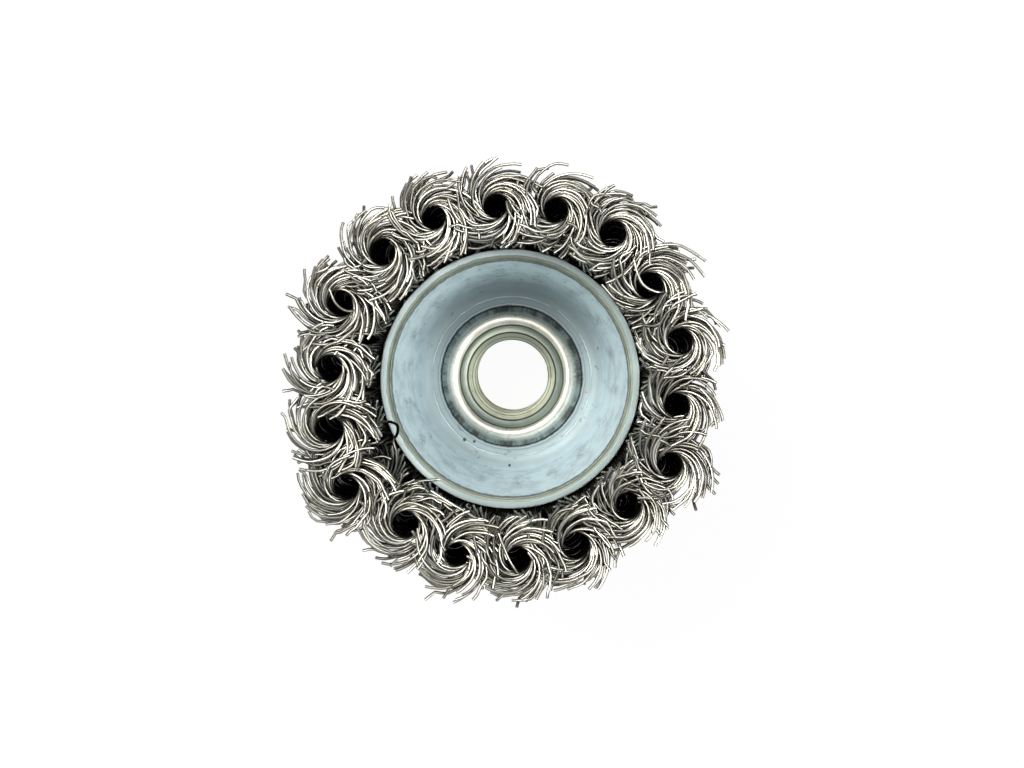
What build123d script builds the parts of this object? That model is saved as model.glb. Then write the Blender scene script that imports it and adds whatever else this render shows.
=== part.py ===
from build123d import *
from math import cos, hypot, radians, sin, sqrt, tan
import os

# Knotted wire cup brush, 75 mm across, for the M14 x 2 spindle of an angle grinder.
# Z runs along the spindle. Z = 0 is the end face of the hub nut on the machine side,
# and the wire knots point up at the work.

# Hub nut: a hexagon whose sleeve is swaged over the stack of pressings.
# Its thread is drawn as a plain bore at the minor diameter.
thread_major_radius = 7.0
thread_minor_radius = 6.0
thread_mouth_relief = 0.35
nut_height = 12.0
nut_shoulder = 1.4
nut_corner_bevel = 30.0
sleeve_wall = 2.6
lip_overhang = 2.1
lip_edge = 0.35
lip_slope = 0.9
groove_width = 1.1
groove_height = 0.35
mouth_land = 0.15
mouth_height = 1.0
crest_width = 1.9
crest_height = 1.9

# Outer cup: a pressing with a flat floor, a round shoulder and a flared wall.
cup_sheet = 2.0
cup_flare = 7.0
cup_lip_setback = 2.6
cup_lip_rounding = 0.8

# Wire plate: a disc with one hole for each knot. Its middle is set down by the
# thickness of the wires that fold under its rim.
plate_sheet = 1.8
plate_step_width = 1.2
plate_bend_radius = 0.3
plate_rim_land = 1.2
plate_rim_rounding = 0.45
wire_hole_radius = 1.7

# Inner dish: a pressing that opens like a trumpet and spreads the wires.
dish_sheet = 1.8
dish_floor_land = 1.6
dish_bend_radius = 2.5
dish_wall_angle = 79.0
dish_rim_angle = 71.0
dish_depth = 16.4
dish_rim_rounding = 0.25

# Knots: bundles of wire, folded in half round the rim of the plate and twisted
# left-handed into a hollow rope that opens into a rosette of wire ends.
knot_count = 18
fold_thickness = 2.0
fold_bend = 0.9
fold_width = 2.0
root_width = 5.6
mouth_thickness = 4.9
mouth_width = 8.4
neck_length = 5.0
trim_length = 22.0
knot_splay = 4.9
ridge_count = 8
ridge_depth = 0.5
rosette_ridge_depth = 1.1
rope_radius = 3.7
rope_twist = 100.0
rope_steps = 3
core_radius = 2.0
core_depth = 13.0
core_taper = 1.0
rosette_length = 5.4
rosette_radius = 7.9
rosette_wall = 1.5
funnel_depth = 7.0
rosette_side_wall = 0.6
rosette_twist = 80.0
rosette_steps = 4

# Clearances between pressed parts, between wire and sheet, and between knots.
sleeve_fit = 0.05
step_fit = 0.1
wire_fit = 0.1
mouth_fit = 0.2
knot_gap = 0.16

# Radii of the hub, from the thread outwards.
thread_mouth_radius = thread_major_radius + thread_mouth_relief
sleeve_radius = thread_major_radius + sleeve_wall
lip_radius = sleeve_radius + lip_overhang
mouth_radius = thread_mouth_radius + mouth_land
groove_radius = mouth_radius + groove_width
crest_foot_radius = groove_radius + crest_width
hub_hole_radius = sleeve_radius + sleeve_fit
nut_across_flats = 2 * (sleeve_radius + nut_shoulder)

# Heights of the stack on the sleeve.
cup_floor_top = nut_height + cup_sheet
plate_underside = cup_floor_top + fold_thickness
plate_top = plate_underside + plate_sheet
plate_middle_top = cup_floor_top + plate_sheet
dish_floor_top = plate_middle_top + dish_sheet
dish_rim_top = dish_floor_top + dish_depth
cup_lip_top = dish_rim_top - cup_lip_setback

# Shape of the dish wall: an arc that leans outwards from the wall angle to the rim angle.
dish_floor_radius = lip_radius + dish_floor_land
dish_bend_rise = dish_bend_radius * (1 - cos(radians(dish_wall_angle)))
dish_bend_run = dish_bend_radius * sin(radians(dish_wall_angle))
dish_arc_radius = (dish_depth - dish_bend_rise) / (
    cos(radians(dish_rim_angle)) - cos(radians(dish_wall_angle))
)
dish_arc_run = dish_arc_radius * (sin(radians(dish_wall_angle)) - sin(radians(dish_rim_angle)))
dish_mouth_radius = dish_floor_radius + dish_bend_run + dish_arc_run
dish_rim_radius = dish_mouth_radius + dish_sheet * sin(radians(dish_rim_angle))

# The cup lip leaves room for the wires outside the dish. The plate sits inside the cup,
# and the wires fold through its holes and round its rim.
mouth_inner_radius = dish_rim_radius + mouth_fit
mouth_outer_radius = mouth_inner_radius + mouth_thickness
cup_lip_radius = mouth_outer_radius + mouth_fit
cup_wall_radius = cup_lip_radius - (cup_lip_top - cup_floor_top) * tan(radians(cup_flare))
cup_shoulder_radius = fold_bend + fold_thickness * (1 - sqrt(0.5))
plate_radius = cup_wall_radius - fold_thickness - 2 * wire_fit
wire_hole_centre = plate_radius - plate_rim_land - wire_hole_radius
# The step in the plate stands clear of the outside of the bend in the dish.
step_slant = hypot(plate_step_width, fold_thickness)
dish_outer_bend = dish_bend_radius + dish_sheet
step_setback = dish_outer_bend * (step_slant - plate_step_width) + step_fit * step_slant
plate_middle_radius = dish_floor_radius + step_setback / fold_thickness

os.makedirs("parts", exist_ok=True)


with BuildPart() as hub_nut:
    with BuildSketch():
        RegularPolygon(nut_across_flats / 2, 6, major_radius=False)
    extrude(amount=nut_height)
    # Corners of the hexagon turned down to a cone on the machine side.
    nut_corner_radius = nut_across_flats / 2 / cos(radians(30))
    bevel_drop = (nut_corner_radius - nut_across_flats / 2) * tan(radians(nut_corner_bevel))
    with BuildSketch(Plane.XZ):
        with BuildLine():
            Polyline(
                (nut_across_flats / 2, 0),
                (nut_corner_radius, bevel_drop),
                (nut_corner_radius, 0),
                close=True,
            )
        make_face()
    revolve(mode=Mode.SUBTRACT)
    # Sleeve, with its end rolled out over the floor of the dish.
    with BuildSketch(Plane.XZ):
        with BuildLine():
            lip_side = Polyline(
                (0, nut_height),
                (sleeve_radius, nut_height),
                (sleeve_radius, dish_floor_top),
                (lip_radius, dish_floor_top),
                (lip_radius, dish_floor_top + lip_edge),
                (crest_foot_radius, dish_floor_top + lip_edge + lip_slope),
            )
            crest = ThreePointArc(
                lip_side @ 1,
                (groove_radius + crest_width / 2, dish_floor_top + crest_height),
                (groove_radius, dish_floor_top + groove_height),
            )
            Polyline(
                crest @ 1,
                (mouth_radius, dish_floor_top + mouth_height),
                (0, dish_floor_top + mouth_height),
                (0, nut_height),
            )
        make_face()
    revolve()
    # Bore, with a countersunk mouth at each end.
    mouth_bevel = thread_mouth_radius - thread_minor_radius
    bore_top = dish_floor_top + mouth_height
    with BuildSketch(Plane.XZ):
        with BuildLine():
            Polyline(
                (0, 0),
                (thread_mouth_radius, 0),
                (thread_minor_radius, mouth_bevel),
                (thread_minor_radius, bore_top - mouth_bevel),
                (thread_mouth_radius, bore_top),
                (0, bore_top),
                close=True,
            )
        make_face()
    revolve(mode=Mode.SUBTRACT)


with BuildPart() as outer_cup:
    with BuildSketch(Plane.XZ) as cup_section:
        with BuildLine():
            FilletPolyline(
                (hub_hole_radius, cup_floor_top),
                (cup_wall_radius, cup_floor_top),
                (cup_lip_radius, cup_lip_top),
                radius=cup_shoulder_radius,
            )
            offset(amount=cup_sheet, side=Side.RIGHT)
        make_face()
        fillet(cup_section.vertices().sort_by(Axis.Y)[-2:], cup_lip_rounding)
    revolve()


with BuildPart() as wire_plate:
    with BuildSketch(Plane.XZ) as plate_section:
        with BuildLine():
            FilletPolyline(
                (hub_hole_radius, plate_middle_top),
                (plate_middle_radius, plate_middle_top),
                (plate_middle_radius + plate_step_width, plate_top),
                (plate_radius, plate_top),
                radius=[plate_bend_radius, plate_bend_radius + plate_sheet],
            )
            offset(amount=plate_sheet, side=Side.RIGHT)
        make_face()
        # The rim is rounded where the wires fold round it.
        fillet(plate_section.vertices().group_by(Axis.X)[-1], plate_rim_rounding)
    revolve()
    with PolarLocations(wire_hole_centre, knot_count):
        Hole(wire_hole_radius)


with BuildPart() as inner_dish:
    with BuildSketch(Plane.XZ) as dish_section:
        with BuildLine():
            floor = Line((hub_hole_radius, dish_floor_top), (dish_floor_radius, dish_floor_top))
            bend = JernArc(floor @ 1, floor % 1, dish_bend_radius, dish_wall_angle)
            JernArc(bend @ 1, bend % 1, dish_arc_radius, dish_rim_angle - dish_wall_angle)
            offset(amount=dish_sheet, side=Side.RIGHT)
        make_face()
        fillet(dish_section.vertices().sort_by(Axis.Y)[-2:], dish_rim_rounding)
    revolve()


def ridged_ring(
    height,
    centre_radius,
    half_thickness,
    half_width,
    twist,
    side_gap=knot_gap / 2,
    depth=ridge_depth,
):
    """Corners of a level outline of ridges and valleys, turned left-handed by twist.

    The outline keeps side_gap clear of the sides of its own sector of the ring of knots.
    """
    half_sector = radians(180 / knot_count)
    corners = []
    for corner in range(2 * ridge_count):
        angle = radians(corner * 180 / ridge_count - twist)
        inset = depth * (corner % 2)
        x = centre_radius + (half_thickness - inset) * cos(angle)
        y = (half_width - inset) * sin(angle)
        side = x * tan(half_sector) - side_gap / cos(half_sector)
        corners.append((x, min(max(y, -side), side), height))
    return corners


def faceted_skin(rings):
    """Closed solid of flat facets that joins each ring of corners to the next one up."""
    facets = [Face(Wire.make_polygon(rings[0])), Face(Wire.make_polygon(rings[-1]))]
    for lower, upper in zip(rings, rings[1:]):
        for here in range(len(lower)):
            there = (here + 1) % len(lower)
            facets.append(Face(Wire.make_polygon([lower[here], lower[there], upper[there]])))
            facets.append(Face(Wire.make_polygon([lower[here], upper[there], upper[here]])))
    return Solid(Shell(facets))


# The rope leans outwards from the middle of the mouth to the middle of the rosette.
mouth_centre_radius = (mouth_inner_radius + mouth_outer_radius) / 2
tip_height = dish_rim_top + trim_length
rosette_base = tip_height - rosette_length
rope_base = cup_lip_top + neck_length


def axis_radius(height):
    """Distance of the leaning rope axis from the spindle axis at a height."""
    return mouth_centre_radius + knot_splay * (height - cup_lip_top) / (tip_height - cup_lip_top)


def rope_ring(height, radius):
    """Ring round the rope below the rosette, turned by the lay of the rope at that height."""
    twist = rope_twist * (height - rope_base) / (rosette_base - rope_base)
    return ridged_ring(height, axis_radius(height), radius, radius, twist)


def rosette_rings():
    """Rings round the outside of the rosette: out from the rope, then up to the ends of the wires."""
    rings = []
    for step in range(1, rosette_steps + 1):
        turn = radians(90 * step / rosette_steps)
        height = tip_height - rosette_length * cos(turn)
        radius = rope_radius + (rosette_radius - rope_radius) * sin(turn)
        twist = rope_twist + rosette_twist * step / rosette_steps
        depth = ridge_depth + (rosette_ridge_depth - ridge_depth) * step / rosette_steps
        rings.append(
            ridged_ring(height, axis_radius(height), radius, radius, twist, depth=depth)
        )
    return rings


def funnel_rings():
    """Rings of the hollow, which opens like a trumpet from the core to the ends of the wires."""
    rings = []
    for step in range(rosette_steps + 1):
        turn = radians(90 * step / rosette_steps)
        height = tip_height - funnel_depth * (1 - sin(turn))
        radius = core_radius + (rosette_radius - rosette_wall - core_radius) * (1 - cos(turn))
        twist = rope_twist + rosette_twist * step / rosette_steps
        rings.append(
            ridged_ring(height, axis_radius(height), radius, radius, twist, rosette_side_wall)
        )
    return rings


root_inner_radius = wire_hole_centre - fold_thickness / 2
root_outer_radius = cup_wall_radius - wire_fit
root_centre_radius = (root_inner_radius + root_outer_radius) / 2
root_half_thickness = (root_outer_radius - root_inner_radius) / 2
outer_rings = [
    ridged_ring(
        plate_top + wire_fit, root_centre_radius, root_half_thickness, root_width / 2, 0
    ),
    ridged_ring(cup_lip_top, mouth_centre_radius, mouth_thickness / 2, mouth_width / 2, 0),
]
for step in range(rope_steps + 1):
    height = rope_base + (rosette_base - rope_base) * step / rope_steps
    outer_rings.append(rope_ring(height, rope_radius))
outer_rings += rosette_rings()

core_rings = [rope_ring(tip_height - core_depth, core_radius - core_taper)]
core_rings += funnel_rings()

# The fold: down through the hole in the plate, under its rim and up beside the cup.
fold_middle_height = cup_floor_top + fold_thickness / 2
fold_top = plate_top + fold_thickness
outer_leg_radius = cup_wall_radius - wire_fit - fold_thickness / 2

with BuildPart() as knot:
    with BuildSketch(Plane.XZ):
        with BuildLine():
            Polyline(
                (wire_hole_centre, fold_top),
                (wire_hole_centre, fold_middle_height + fold_bend),
                (wire_hole_centre + fold_bend, fold_middle_height),
                (outer_leg_radius - fold_bend, fold_middle_height),
                (outer_leg_radius, fold_middle_height + fold_bend),
                (outer_leg_radius, fold_top),
            )
        trace(line_width=fold_thickness)
    extrude(amount=fold_width / 2, both=True)
    add(faceted_skin(outer_rings))
    add(faceted_skin(core_rings), mode=Mode.SUBTRACT)


hub_nut.part.label = "hub_nut"
export_step(hub_nut.part, "parts/hub_nut.step")
outer_cup.part.label = "outer_cup"
export_step(outer_cup.part, "parts/outer_cup.step")
wire_plate.part.label = "wire_plate"
export_step(wire_plate.part, "parts/wire_plate.step")
inner_dish.part.label = "inner_dish"
export_step(inner_dish.part, "parts/inner_dish.step")

for number in range(knot_count):
    with BuildPart() as placed_knot:
        add(knot.part, rotation=(0, 0, 360 * number / knot_count))
    placed_knot.part.label = f"knot_{number + 1:02d}"
    export_step(placed_knot.part, f"parts/knot_{number + 1:02d}.step")
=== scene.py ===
# %% [markdown]
# # A twist-knot wire cup brush
#
# The brush screws on to the spindle of an angle grinder. Eighteen ropes of steel wire stand in
# a ring, and each one opens at its end into a rosette of wire ends. We look straight at that
# working face. This lesson loads the solid model, dresses the pressings and the nut with their
# real finish, and builds every single wire.

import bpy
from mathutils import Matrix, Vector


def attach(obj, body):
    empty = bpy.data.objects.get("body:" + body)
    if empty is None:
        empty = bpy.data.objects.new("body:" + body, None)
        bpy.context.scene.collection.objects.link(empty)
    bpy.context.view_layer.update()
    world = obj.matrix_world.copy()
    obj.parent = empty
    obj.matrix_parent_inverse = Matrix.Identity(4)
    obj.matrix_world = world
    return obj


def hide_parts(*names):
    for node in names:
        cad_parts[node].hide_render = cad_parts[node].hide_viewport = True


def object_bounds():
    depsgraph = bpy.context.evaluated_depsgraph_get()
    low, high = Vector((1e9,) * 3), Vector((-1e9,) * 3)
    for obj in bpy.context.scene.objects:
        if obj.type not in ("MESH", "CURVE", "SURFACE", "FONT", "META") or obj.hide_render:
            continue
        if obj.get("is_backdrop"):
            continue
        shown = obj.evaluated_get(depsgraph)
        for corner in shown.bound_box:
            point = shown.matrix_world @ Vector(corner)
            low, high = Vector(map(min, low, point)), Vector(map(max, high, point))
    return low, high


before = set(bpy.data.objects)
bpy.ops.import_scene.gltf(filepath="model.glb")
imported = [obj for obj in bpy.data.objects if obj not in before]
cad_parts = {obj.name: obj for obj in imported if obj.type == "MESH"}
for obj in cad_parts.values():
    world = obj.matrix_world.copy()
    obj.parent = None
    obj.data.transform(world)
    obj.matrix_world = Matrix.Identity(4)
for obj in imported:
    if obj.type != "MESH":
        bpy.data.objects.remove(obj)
solid_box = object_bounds()
print("nodes in the solid model:", len(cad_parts))

# %% [markdown]
# The real brush is measured in millimetres and Blender counts in metres. We write every size in
# millimetres, as a maker would, and shrink each finished mesh once, at the end of its making.

# %% Units and the tools of the lesson
import random
from math import atan2, cos, hypot, pi, radians, sin

import bmesh
import bpy
from mathutils import Matrix, Vector

mm = 0.001
scene = bpy.context.scene


def ease(share):
    """A smooth start and stop between 0 and 1."""
    share = min(max(share, 0.0), 1.0)
    return share * share * (3 - 2 * share)


print("one millimetre is", mm, "of Blender's metres")

# %% [markdown]
# The camera hangs about a metre above the brush with a long lens, so the ropes hardly spread
# towards the edge of the picture. It leans two degrees towards the upper right, and it is turned
# so that the first knot stands a little above three o'clock.

# %% Camera
camera_distance = 0.97
camera_lean = radians(1.9)
picture_turn = radians(14.25)
aim_right, aim_up, aim_height = 0.27, -0.95, 30
picture_right = Vector((cos(picture_turn), -sin(picture_turn), 0))
picture_up = Vector((sin(picture_turn), cos(picture_turn), 0))
lean_direction = (0.55 * picture_right + 0.83 * picture_up).normalized()

aim = aim_right * mm * picture_right + aim_up * mm * picture_up + Vector((0, 0, aim_height * mm))
away = Vector((0, 0, cos(camera_lean))) + lean_direction * sin(camera_lean)
side = picture_up.cross(away).normalized()
camera_axes = Matrix((side, away.cross(side), away)).transposed()

camera = bpy.data.objects.new("camera", bpy.data.cameras.new("camera"))
camera.data.lens = 207
camera.data.sensor_width = 36
camera.matrix_world = Matrix.Translation(aim + away * camera_distance) @ camera_axes.to_4x4()
scene.collection.objects.link(camera)
scene.camera = camera
print("camera stands at", [round(v, 3) for v in camera.matrix_world.translation])

# %% [markdown]
# The picture was taken on plain white. A floor that gives off its own white only where the
# camera or a shiny surface sees it stays white in the picture, and still holds a faint shadow.
# More light on the object would whiten a plain floor too, but it would bleach the metal. A
# material is a tree of nodes, so a few short helpers for such trees come first.

# %% Helpers for node trees
def new_material(name):
    """A material with an empty tree, and its output node."""
    material = bpy.data.materials.new(name)
    material.use_nodes = True
    material.node_tree.nodes.clear()
    return material, material.node_tree.nodes.new("ShaderNodeOutputMaterial")


def node(tree, kind, inputs=None, **settings):
    """A node with its settings. Each input gets a plain value, or a link from a socket."""
    made = tree.nodes.new("ShaderNode" + kind)
    for name, value in settings.items():
        setattr(made, name, value)
    for key, source in (inputs or {}).items():
        if isinstance(source, bpy.types.NodeSocket):
            tree.links.new(source, made.inputs[key])
        else:
            made.inputs[key].default_value = source
    return made


def reckon(tree, operation, first, second=0.0):
    """A small sum, with sockets or plain numbers."""
    return node(tree, "Math", {0: first, 1: second}, operation=operation).outputs[0]


def times(tree, first, second):
    """One socket or number times another."""
    return reckon(tree, "MULTIPLY", first, second)


print("helpers for node trees: new_material, node, reckon, times")

# %% Floor
floor_radius, own_light = 1.6, 0.95
floor_shape = bmesh.new()
bmesh.ops.create_circle(floor_shape, cap_ends=True, segments=64, radius=floor_radius)
floor_mesh = bpy.data.meshes.new("floor")
floor_shape.to_mesh(floor_mesh)
floor_shape.free()
floor = bpy.data.objects.new("floor", floor_mesh)
scene.collection.objects.link(floor)

paper, paper_out = new_material("white_paper")
tree = paper.node_tree
ray = node(tree, "LightPath").outputs
seen = reckon(tree, "MAXIMUM", ray["Is Camera Ray"], ray["Is Glossy Ray"])
seen = reckon(tree, "MAXIMUM", seen, ray["Is Transmission Ray"])
matt = node(tree, "BsdfDiffuse", {"Color": (0.86, 0.86, 0.86, 1)}).outputs[0]
glow = node(tree, "Emission", {"Color": (1, 1, 1, 1), "Strength": 1.0}).outputs[0]
mix = node(tree, "MixShader", {0: times(tree, seen, own_light), 1: matt, 2: glow})
tree.links.new(mix.outputs[0], paper_out.inputs["Surface"])
floor_mesh.materials.append(paper)
floor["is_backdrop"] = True
print("floor radius", floor_radius, "m")

# %% [markdown]
# The light comes softly from the upper left of the picture. A large lamp there draws the bright
# lines on the wires, a weaker one on the right opens the shadows, and a plain pale sky fills the
# rest. A picture of a studio as the sky would do it too, but two lamps are easier to aim.

# %% Light
def soft_lamp(name, width, watts, colour, direction, distance):
    """A square lamp that looks at the brush from a direction."""
    lamp = bpy.data.lights.new(name, "AREA")
    lamp.shape = "SQUARE"
    lamp.size = width
    lamp.energy = watts
    lamp.color = colour
    held = bpy.data.objects.new(name, lamp)
    held.location = direction.normalized() * distance
    held.rotation_euler = direction.to_track_quat("Z", "Y").to_euler()
    scene.collection.objects.link(held)
    return held


overhead = Vector((0, 0, 1))
key = soft_lamp("key_lamp", 0.7, 13.5, (1.0, 0.99, 0.97),
                1.7 * overhead - 0.70 * picture_right + 0.62 * picture_up, 1.2)
fill = soft_lamp("fill_lamp", 0.5, 6.2, (0.95, 0.98, 1.0),
                 1.3 * overhead + 0.95 * picture_right - 0.1 * picture_up, 1.1)

sky = bpy.data.worlds.new("pale_sky")
sky.use_nodes = True
tree = sky.node_tree
upwards = node(tree, "SeparateXYZ", {0: node(tree, "TexCoord").outputs["Generated"]})
dome = node(tree, "ValToRGB", {"Fac": upwards.outputs[2]})
dome.color_ramp.elements[0].color = (0.18, 0.185, 0.19, 1)
dome.color_ramp.elements[1].color = (0.60, 0.63, 0.66, 1)
dome.color_ramp.elements[1].position = 0.85
tree.links.new(dome.outputs[0], tree.nodes["Background"].inputs["Color"])
scene.world = sky
scene.view_settings.view_transform = "Standard"
print("lamps:", key.name, fill.name)

# %% [markdown]
# ## One wire
#
# Each rope is a bundle of hard steel wire, half a millimetre thick, folded in half round the rim
# of a plate deep in the cup. Both halves come up past the dish, twist left-handed round an open
# middle, and bend outwards at the top. A Screw modifier could wind such a rope but not open it,
# so we march along each wire as a line in space. On the rope it goes round at a fixed distance
# from the middle. Where the rosette opens, its turn dies away and it flattens out, so it leaves
# the hole along a tangent, as the real wires do.

# %% Sizes of the rope
# The wires end below tip_limit, within side_limit and no nearer to the spindle than rim_limit.
knot_count = 18
wire_radius = 0.25
fold_floor = 14.25
mouth_height, mouth_radius = 31.4, 23.94
rope_foot, rope_lean = 36.4, 4.9
lean_height, sway_height = 24.6, 17
tip_limit = 55.72
side_limit = (36.44, 35.90)
rim_limit = 21.6


def rope_middle(height, sway):
    """Middle of the leaning rope at a height, in the knot's own frame."""
    lean = (height - mouth_height) / lean_height
    moved = ease((height - rope_foot) / sway_height)
    return Vector((mouth_radius + rope_lean * lean + sway[1] * moved, sway[0] * moved, height))


print("rope middle at the tips:", rope_middle(56, (0, 0)))

# %% March along one end of a wire
rope_steps, rope_twist, twist_growth = 11, radians(150), 1.5
stride, longest_arm, kink_length = 0.2, 17, 1.5


def rope_and_arm(ring_radius, start_angle, opening, reach, flatness, opening_run, flare, kink):
    """Points from the foot of the rope to the tip, measured from the middle of the rope."""
    # An arm that points outwards stops half a millimetre sooner and opens a fifth less.
    rope = []
    for step in range(rope_steps + 1):
        share = step / rope_steps
        angle = start_angle - rope_twist * share ** twist_growth
        height = rope_foot + (opening - rope_foot) * share
        rope.append(Vector((ring_radius * cos(angle), ring_radius * sin(angle), height)))
    steepness = atan2(opening - rope_foot, twist_growth * rope_twist * ring_radius)
    radius, height, run, kinked = ring_radius, opening, 0.0, 0.0
    arm = [rope[-1].copy()]
    while run < longest_arm and kinked < kink_length:
        if not kinked and radius >= reach - 0.5 * cos(angle):
            break
        rise = steepness + (flatness - steepness) * ease(run / (0.8 * opening_run))
        outwards = flare * (1 - 0.2 * cos(angle)) * ease(run / opening_run)
        if kink and radius > reach - 1.0:
            kinked += stride
            outwards += kink
            rise += 0.3 * kink
        angle -= stride * cos(rise) * cos(outwards) / radius
        radius += stride * cos(rise) * sin(outwards)
        height += stride * sin(rise)
        run += stride
        arm.append(Vector((radius * cos(angle), radius * sin(angle), height)))
    return rope, arm


def spread(points, count):
    """The same line through evenly spaced points."""
    lengths = [0.0]
    for a, b in zip(points, points[1:]):
        lengths.append(lengths[-1] + (b - a).length)
    line, at = [], 0
    for step in range(count):
        wanted = lengths[-1] * step / (count - 1)
        while at < len(points) - 2 and lengths[at + 1] < wanted:
            at += 1
        span = lengths[at + 1] - lengths[at]
        line.append(points[at].lerp(points[at + 1], (wanted - lengths[at]) / span if span else 0))
    return line


rope, arm = rope_and_arm(ring_radius=2.2, start_angle=0.0, opening=50.3, reach=7.0,
                         flatness=radians(12), opening_run=6.0, flare=radians(30), kink=0.0)
print("one arm reaches", round(hypot(arm[-1].x, arm[-1].y), 2), "mm out, to", round(arm[-1].z, 2),
      "mm up, in", len(arm), "strides")

# %% [markdown]
# ## A bundle of wires
#
# A rope holds three layers of wire round its hole. Below it, the two halves of the bundle fan
# out into two flat rows, one behind the dish and one along the cup, with the wires side by side.
# We sort the places at each level from left to right, so that the wires pass from one to the
# next without crossing.

# %% Places of the wires
# For each layer its distance from the hole, its number of wire ends and where its arms open.
layers = [(0.0, 22, 50.9), (0.56, 26, 49.8), (1.1, 16, 48.6)]
wires_a_knot = sum(count for gap, count, opening in layers) // 2


def rope_places(chance):
    """Layer, start angle and opening height of each wire end, inner half first, left to right."""
    inner, outer = [], []
    for gap, count, opening in layers:
        shift = chance.uniform(0, 1)
        for number in range(count):
            angle = 2 * pi * (number + shift) / count
            place = (gap, angle, opening)
            (inner if cos(angle) < 0 else outer).append(place)
    inner.sort(key=lambda place: sin(place[1]))
    outer.sort(key=lambda place: sin(place[1]))
    while len(inner) > len(outer):
        outer.insert(0, inner.pop(0))
    while len(outer) > len(inner):
        inner.insert(0, outer.pop(0))
    return inner, outer


chance = random.Random(5)
print("wire ends, inner and outer half:", [len(half) for half in rope_places(chance)])

# %% [markdown]
# Deep in the cup each wire makes a hairpin: down a hole of the plate, under the plate and up the
# wall of the cup. There the bundle is a small packet, four wires deep and eight wide. Nobody sees
# it, and the ropes could simply start at the mouth of the cup, but then they would stand on
# nothing. Above it a smooth bend leads from each leg to the foot of the rope.

# %% The hidden fold and the bend above it
wire_thickness = 2 * wire_radius
nest_depth = 4
nest_middle = (wires_a_knot / nest_depth - 1) / 2
under_dish, hole_at, cup_wall_at = 18.2, 20.45, 22.58
# The step from one layer of the packet to the next, in the hole and at the wall, how far the
# round hole squeezes each layer, and how much each corner of the fold cuts off.
hole_step, wall_step = 0.72, 0.55
squeeze = (0.62, 0.78, 0.78, 0.62)
cut_up, cut_across = 0.7, 0.5


def hidden_fold(number):
    """From the leg under the dish, down through the hole, under the plate and up the cup wall."""
    nest = number % nest_depth
    across = (number // nest_depth - nest_middle) * wire_thickness
    hole_x = hole_at - hole_step * nest
    hole_y = across * squeeze[nest]
    wall_x = cup_wall_at + wall_step * nest
    low = fold_floor + wire_thickness * (nest_depth - 1 - nest)
    return [
        Vector((hole_x, hole_y, under_dish)),
        Vector((hole_x, hole_y, low + cut_up)),
        Vector((hole_x + cut_across, across, low)),
        Vector((wall_x - cut_across, across, low)),
        Vector((wall_x, across, low + cut_up)),
        Vector((wall_x, across, under_dish)),
    ]


def on_bend(start, start_pull, stop, stop_pull, t):
    """A point at share t of the smooth bend that leaves start and reaches stop along the pulls."""
    return ((2 * t ** 3 - 3 * t ** 2 + 1) * start + (t ** 3 - 2 * t ** 2 + t) * start_pull
            + (3 * t ** 2 - 2 * t ** 3) * stop + (t ** 3 - t ** 2) * stop_pull)


def neck(mouth, mouth_pull, foot, foot_pull, steps=6):
    """A smooth bend from the mouth of the cup to the foot of the rope."""
    return [on_bend(mouth, mouth_pull, foot, foot_pull, step / steps) for step in range(steps)]


print("one fold:", [tuple(round(v, 2) for v in point) for point in hidden_fold(0)])

# %% [markdown]
# Every knot is twisted on a machine and then battered by work, so its hole is a little larger
# or smaller, and its rosette has moved sideways or leans. Those numbers were read off the
# picture, one line for each knot.

# %% How each knot differs
# Sideways and outwards shift of the rosette, and radius of its hole, in millimetres.
knot_moods = [
    (-0.44, 0.4, 1.9), (0.05, -0.55, 2.0), (0.24, 1.15, 1.95), (0.09, 0.57, 1.8),
    (-0.18, 0.18, 1.8), (0.0, 0.85, 1.75), (-0.19, 0.88, 2.0), (0.39, 1.63, 1.95),
    (0.68, 0.55, 1.95), (0.36, 1.65, 2.1), (-0.64, 2.9, 1.95), (0.05, 0.17, 2.0),
    (-0.28, 0.82, 1.8), (-0.46, 0.36, 1.9), (-0.78, 0.48, 2.05), (0.06, -0.32, 1.95),
    (-0.58, 1.14, 1.8), (-0.99, -0.66, 1.85),
]
print("holes from", min(mood[2] for mood in knot_moods), "to", max(mood[2] for mood in knot_moods),
      "mm in radius")

# %% Bend an arm in place
def bent_arm(arm, sway, around, tilt, wave, wave_start, droop):
    """The arm in place on its knot, tilted, waved and drooping, up to the limits of the brush."""
    bent = []
    for stride_number, point in enumerate(arm):
        reached = hypot(point.x, point.y)
        free = ease((reached - 2) / 4)
        wobble = wave * sin(wave_start + stride_number * 0.33) * free
        place = rope_middle(point.z, sway) + Vector((point.x, point.y, 0)) * (1 + wobble / reached)
        lifted = point.z + (tilt * point.y + droop * (reached - 2)) * free
        place.z = lifted
        turned = around @ place
        if (lifted > tip_limit or hypot(turned.x, turned.y) < rim_limit
                or abs(turned.x) > side_limit[0] or abs(turned.y) > side_limit[1]):
            break
        bent.append(place)
    return bent


bent = bent_arm(arm, (0, 0), Matrix.Identity(3), tilt=0.06, wave=0.0, wave_start=0.0, droop=0.0)
print("one bent arm keeps", len(bent), "of", len(arm), "points")

# %% All the wires of a knot
arm_points = 16
leg_pitch, row_middle = 0.472, (wires_a_knot / 2 - 1) / 2
# For the inner and the outer half: distance of its legs from the spindle, step to the row behind,
# how far the legs fan out, and how they are pulled out of the cup: outwards, sideways and up.
legs = [(21.72, 0.47, 1.0, (0.25, 0.2, 6.5)), (26.1, -0.47, 1.1, (0.35, 0.15, 5.0))]


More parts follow.
